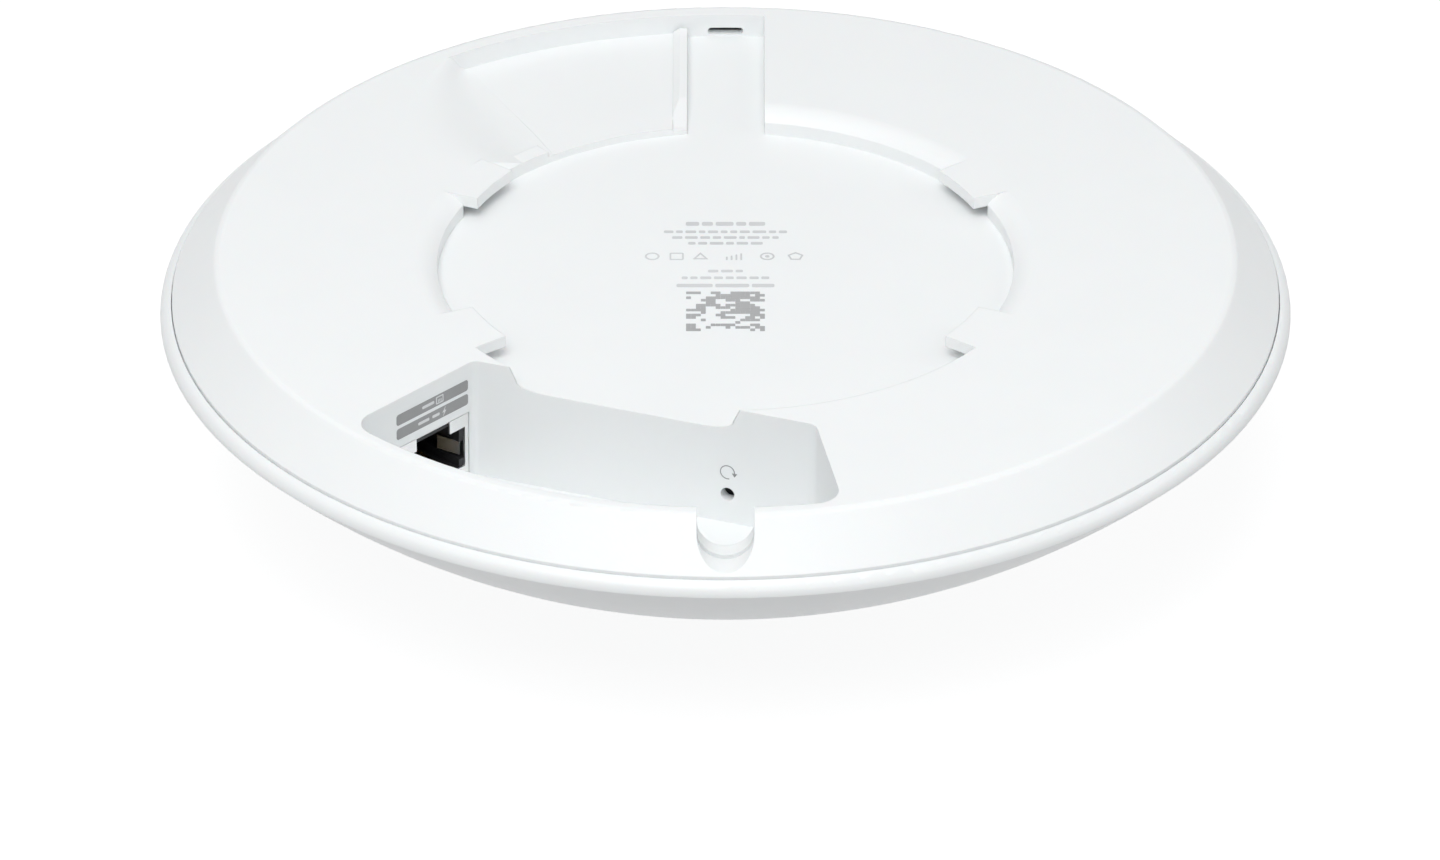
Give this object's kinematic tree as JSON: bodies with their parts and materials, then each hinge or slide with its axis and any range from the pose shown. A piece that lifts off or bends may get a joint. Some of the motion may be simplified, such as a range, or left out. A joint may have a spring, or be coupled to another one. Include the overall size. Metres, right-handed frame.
{
  "type": "ceiling access point",
  "caption": "Round domed ceiling wireless access point with a recessed twist-on mount, an Ethernet jack in a rear bay, a cable exit notch and a reset pinhole.",
  "frame": {"origin": "centre of the round mounting face, on the plane that meets the ceiling bracket", "axes": "+Z out of the mounting face towards the ceiling, -Y towards the cable exit notch, +X to the right seen from above with the notch nearest"},
  "size_m": [0.1756, 0.1756, 0.0452],
  "materials": {
    "white_plastic": "fine satin spark texture",
    "dome_plastic": "smooth satin",
    "diffuser": "milky satin",
    "clear_plastic": "clear moulded",
    "led_package": "moulded with a phosphor window",
    "plated_steel": "bright tin plate",
    "gold_contact": "gold plated",
    "black_plastic": "moulded, satin",
    "board": "solder mask over glass-fibre laminate",
    "chip_package": "moulded epoxy",
    "ceramic": "fired ceramic",
    "ferrite": "sintered, taped winding",
    "capacitor_can": "drawn can",
    "cast_aluminium": "die cast, slightly rough",
    "thermal_pad": "soft silicone",
    "screw_steel": "zinc plated",
    "film": "thin polyester film",
    "antenna_metal": "tinned sheet",
    "button_plastic": "moulded, satin"
  },
  "bodies": {
    "housing": {"rear_cover": "white_plastic", "front_cover": "dome_plastic", "light_ring": "diffuser", "light_guide": "clear_plastic", "status_leds": "led_package", "jack_shell": "plated_steel", "jack_insert": "black_plastic", "jack_contacts": "gold_contact", "jack_shield_springs": "plated_steel", "main_board": "board", "shield_cans": "plated_steel", "main_processor": "chip_package", "radio_chips": "chip_package", "radio_frontends": "chip_package", "memory_chips": "chip_package", "flash_chip": "chip_package", "network_chip": "chip_package", "power_controller": "chip_package", "clock_crystals": "plated_steel", "chip_capacitors": "ceramic", "poe_transformer": "ferrite", "lan_transformer": "black_plastic", "power_inductors": "ferrite", "bulk_capacitors": "capacitor_can", "rectifier_diodes": "chip_package", "heat_spreader": "cast_aluminium", "thermal_pads": "thermal_pad", "spreader_screws": "screw_steel", "board_screws": "screw_steel", "insulation_sheet": "film", "low_band_antennas": "antenna_metal", "high_band_antennas": "antenna_metal", "short_range_antenna": "antenna_metal", "reset_switch_body": "black_plastic", "reset_switch_frame": "plated_steel", "reset_switch_dome": "plated_steel", "reset_switch_pins": "gold_contact"},
    "reset_plunger": {"reset_button": "button_plastic"}
  },
  "joints": [
    {"name": "reset_press", "type": "slide", "parent": "housing", "child": "reset_plunger", "axis": [0.3488, 0.9372, 0], "range_m": [0, 0.00035], "stiffness_N_per_m": 400, "springref_m": -0.0005}
  ]
}
